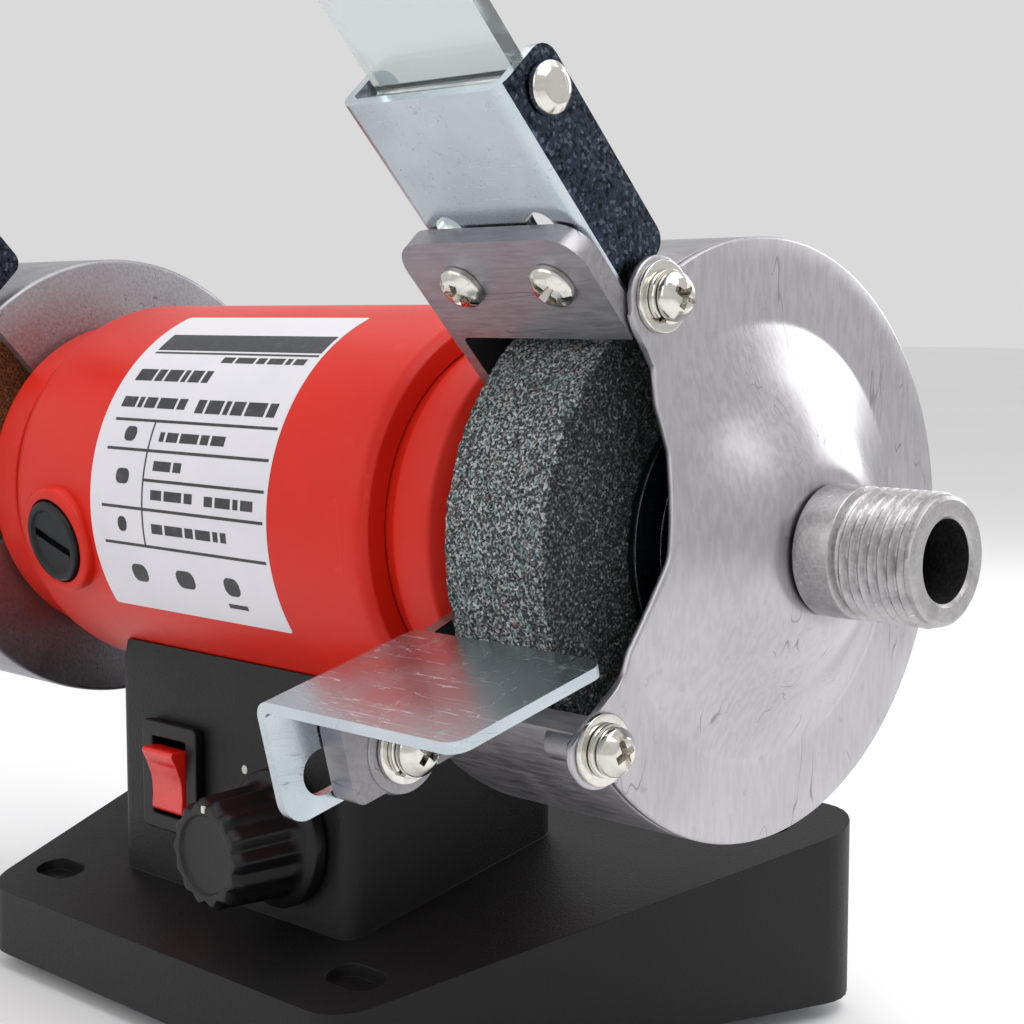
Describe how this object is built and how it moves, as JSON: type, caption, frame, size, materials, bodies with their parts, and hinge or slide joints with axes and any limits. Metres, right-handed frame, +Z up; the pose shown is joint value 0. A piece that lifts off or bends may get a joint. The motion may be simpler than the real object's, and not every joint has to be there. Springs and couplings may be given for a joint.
{
  "type": "bench grinder",
  "caption": "Small electric bench grinder: motor between guarded abrasive wheels, tool rests, eye shields, speed knob, rocker switch and a threaded drive outlet.",
  "frame": {"origin": "bottom centre of the bounding box, on the surface the rubber feet stand on", "axes": "+Z up, +X along the motor axis towards the wheel with the drive outlet, -Y towards the operator"},
  "size_m": [0.2368, 0.132, 0.1728],
  "materials": {
    "red_plastic": "moulded red ABS, semi-gloss",
    "black_plastic": "black ABS with a fine satin grain",
    "rubber": "moulded rubber",
    "cast_alloy": "die-cast, lightly tumbled",
    "pressed_alloy": "satin pressing with handling marks",
    "zinc_plate": "bright zinc plating on steel",
    "machined_steel": "turned and ground steel",
    "blackened_steel": "black oxide",
    "grey_grit": "coarse silicon carbide grit",
    "brown_grit": "fine corundum grit",
    "copper_winding": "enamelled copper wire",
    "lamination": "stacked electrical steel",
    "carbon": "pressed carbon",
    "circuit_board": "glass-fibre board with solder mask",
    "clear_shield": "clear polycarbonate",
    "rocker_red": "polished red plastic"
  },
  "bodies": {
    "machine": {"base_shell": "black_plastic", "base_plate": "machined_steel", "rubber_foot_front_left": "rubber", "rubber_foot_front_right": "rubber", "rubber_foot_rear_left": "rubber", "rubber_foot_rear_right": "rubber", "switch_body": "black_plastic", "potentiometer": "machined_steel", "control_board": "circuit_board", "cable_gland": "rubber", "motor_housing": "red_plastic", "end_cap_right": "red_plastic", "end_cap_left": "red_plastic", "bearing_right": "machined_steel", "bearing_left": "machined_steel", "stator_core": "lamination", "field_coil_upper": "copper_winding", "field_coil_lower": "copper_winding", "brush_cap_front": "black_plastic", "brush_cap_rear": "black_plastic", "carbon_brush_front": "carbon", "carbon_brush_rear": "carbon", "drive_outlet": "machined_steel", "guard_body_right": "cast_alloy", "guard_cover_right": "pressed_alloy", "cover_screw_upper_right": "zinc_plate", "cover_screw_lower_right": "zinc_plate", "bracket_screw_inner_right": "zinc_plate", "bracket_screw_outer_right": "zinc_plate", "rest_bolt_right": "zinc_plate", "guard_body_left": "cast_alloy", "guard_cover_left": "pressed_alloy", "cover_screw_upper_left": "zinc_plate", "cover_screw_lower_left": "zinc_plate", "bracket_screw_inner_left": "zinc_plate", "bracket_screw_outer_left": "zinc_plate", "rest_bolt_left": "zinc_plate"},
    "rotor": {"rotor_shaft": "machined_steel", "armature": "lamination", "cooling_fan": "black_plastic", "inner_flange_right": "blackened_steel", "outer_flange_right": "blackened_steel", "wheel_nut_right": "machined_steel", "inner_flange_left": "blackened_steel", "outer_flange_left": "blackened_steel", "wheel_nut_left": "machined_steel", "grinding_wheel_coarse": "grey_grit", "grinding_wheel_fine": "brown_grit"},
    "power_rocker": {"power_rocker": "rocker_red"},
    "speed_knob": {"speed_knob": "black_plastic"},
    "shield_bracket_right": {"shield_bracket_right": "zinc_plate", "shield_pin_right": "zinc_plate"},
    "eye_shield_right": {"eye_shield_right": "clear_shield"},
    "rest_clamp_right": {"rest_washer_right": "zinc_plate"},
    "tool_rest_right": {"tool_rest_right": "zinc_plate"},
    "shield_bracket_left": {"shield_bracket_left": "zinc_plate", "shield_pin_left": "zinc_plate"},
    "eye_shield_left": {"eye_shield_left": "clear_shield"},
    "rest_clamp_left": {"rest_washer_left": "zinc_plate"},
    "tool_rest_left": {"tool_rest_left": "zinc_plate"}
  },
  "joints": [
    {"name": "rotor_spin", "type": "hinge", "parent": "machine", "child": "rotor", "pos_m": [-0.0095, 0.00069, 0.087], "axis": [1, 0, 0], "continuous": true},
    {"name": "rocker_tip", "type": "hinge", "parent": "machine", "child": "power_rocker", "pos_m": [-0.0235, -0.02271, 0.038], "axis": [1, 0, 0], "range_deg": [-22, 0]},
    {"name": "knob_turn", "type": "hinge", "parent": "machine", "child": "speed_knob", "pos_m": [0.0065, -0.02191, 0.033], "axis": [0, 1, 0], "range_deg": [0, 280]},
    {"name": "bracket_raise_right", "type": "slide", "parent": "machine", "child": "shield_bracket_right", "axis": [0, -0.682, 0.7314], "range_m": [0, 0.0015]},
    {"name": "shield_swing_right", "type": "hinge", "parent": "shield_bracket_right", "child": "eye_shield_right", "pos_m": [0.07105, -0.04193, 0.14707], "axis": [1, 0, 0], "range_deg": [-60, 25]},
    {"name": "rest_tilt_right", "type": "hinge", "parent": "machine", "child": "rest_clamp_right", "pos_m": [0.0541, -0.04391, 0.0605], "axis": [1, 0, 0], "range_deg": [-4, 8]},
    {"name": "rest_slide_right", "type": "slide", "parent": "rest_clamp_right", "child": "tool_rest_right", "axis": [0, -0.9703, -0.2419], "range_m": [-0.0012, 0.0022]},
    {"name": "bracket_raise_left", "type": "slide", "parent": "machine", "child": "shield_bracket_left", "axis": [0, -0.682, 0.7314], "range_m": [0, 0.0015]},
    {"name": "shield_swing_left", "type": "hinge", "parent": "shield_bracket_left", "child": "eye_shield_left", "pos_m": [-0.09005, -0.04193, 0.14707], "axis": [1, 0, 0], "range_deg": [-60, 25]},
    {"name": "rest_tilt_left", "type": "hinge", "parent": "machine", "child": "rest_clamp_left", "pos_m": [-0.0731, -0.04391, 0.0605], "axis": [1, 0, 0], "range_deg": [-4, 8]},
    {"name": "rest_slide_left", "type": "slide", "parent": "rest_clamp_left", "child": "tool_rest_left", "axis": [0, -0.9703, -0.2419], "range_m": [-0.0012, 0.0022]}
  ]
}
